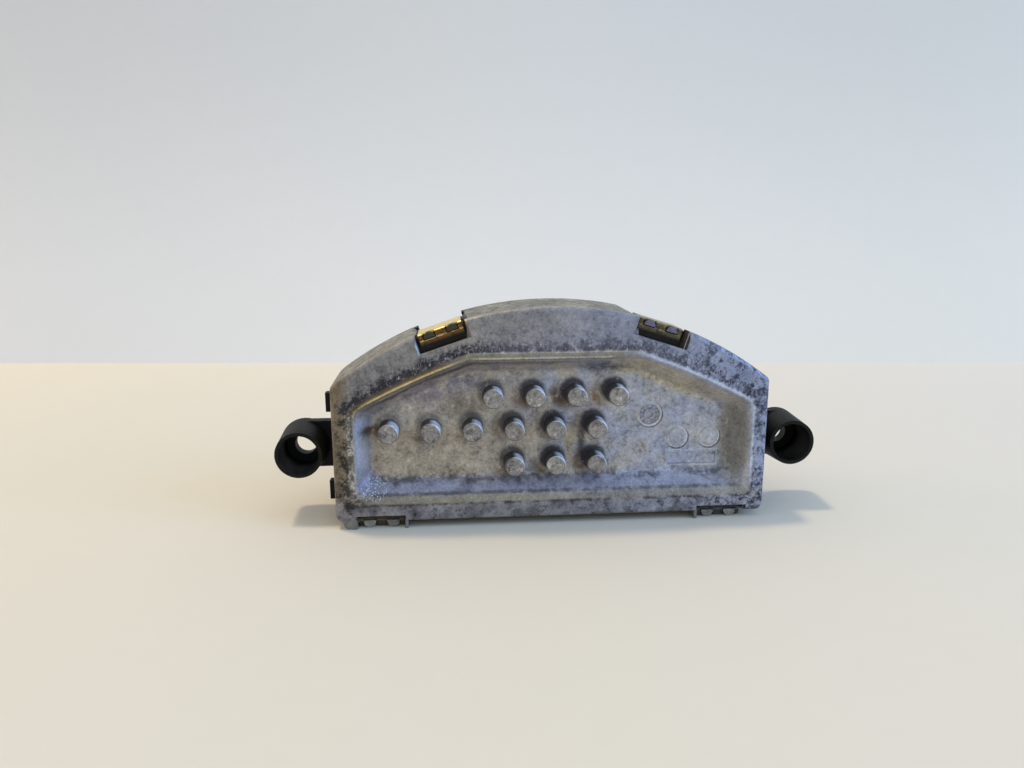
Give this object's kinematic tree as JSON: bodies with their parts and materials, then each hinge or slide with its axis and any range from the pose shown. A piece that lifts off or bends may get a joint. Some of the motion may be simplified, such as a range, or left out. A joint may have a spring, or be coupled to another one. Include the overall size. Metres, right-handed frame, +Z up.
{
  "type": "blower motor resistor",
  "caption": "D-shaped die-cast heat sink with short cooling pins, clipped to a plastic housing with two tubular screw ears and two plug sockets, for controlling a car heater blower.",
  "frame": {"origin": "under the middle of the part's box, on the surface that it stands on", "axes": "+X to the right along the straight side as the pins are looked at, +Y from the pin side to the plug side, +Z up from the straight side to the arc"},
  "size_m": [0.1347, 0.0432, 0.0531],
  "materials": {
    "cast_aluminium": "dull die casting, stained and corroded",
    "black_plastic": "fine moulded grain",
    "zinc_steel": "yellow zinc plating with spots of rust",
    "board_laminate": "green solder mask",
    "screw_steel": "bright zinc plating",
    "moulding_compound": "matt black",
    "bare_copper": "copper",
    "silicone_pad": "grey silicone",
    "can_sleeve": "dark blue sleeve",
    "ferrite": "dark grey",
    "tinned_metal": "tin plating",
    "blue_coating": "lacquer",
    "tan_ceramic": "plain"
  },
  "bodies": {
    "root": {"heat_sink": "cast_aluminium", "housing": "black_plastic", "clip_top_left": "zinc_steel", "clip_top_right": "zinc_steel", "clip_bottom_left": "zinc_steel", "clip_bottom_right": "zinc_steel", "circuit_board": "board_laminate", "board_screws": "screw_steel", "transistor_left": "moulding_compound", "transistor_right": "moulding_compound", "lead_frame_left": "bare_copper", "lead_frame_right": "bare_copper", "thermal_pad_left": "silicone_pad", "thermal_pad_right": "silicone_pad", "clamp_spring": "screw_steel", "clamp_screw": "screw_steel", "supply_capacitor": "can_sleeve", "filter_capacitor": "can_sleeve", "choke_core": "ferrite", "choke_winding": "bare_copper", "shunt": "tinned_metal", "control_chip": "moulding_compound", "suppressor_disc": "blue_coating", "chip_capacitors": "tan_ceramic", "motor_blade_plus": "tinned_metal", "motor_blade_minus": "tinned_metal", "supply_blade_plus": "tinned_metal", "supply_blade_ground": "tinned_metal", "signal_pins": "tinned_metal"}
  },
  "joints": []
}
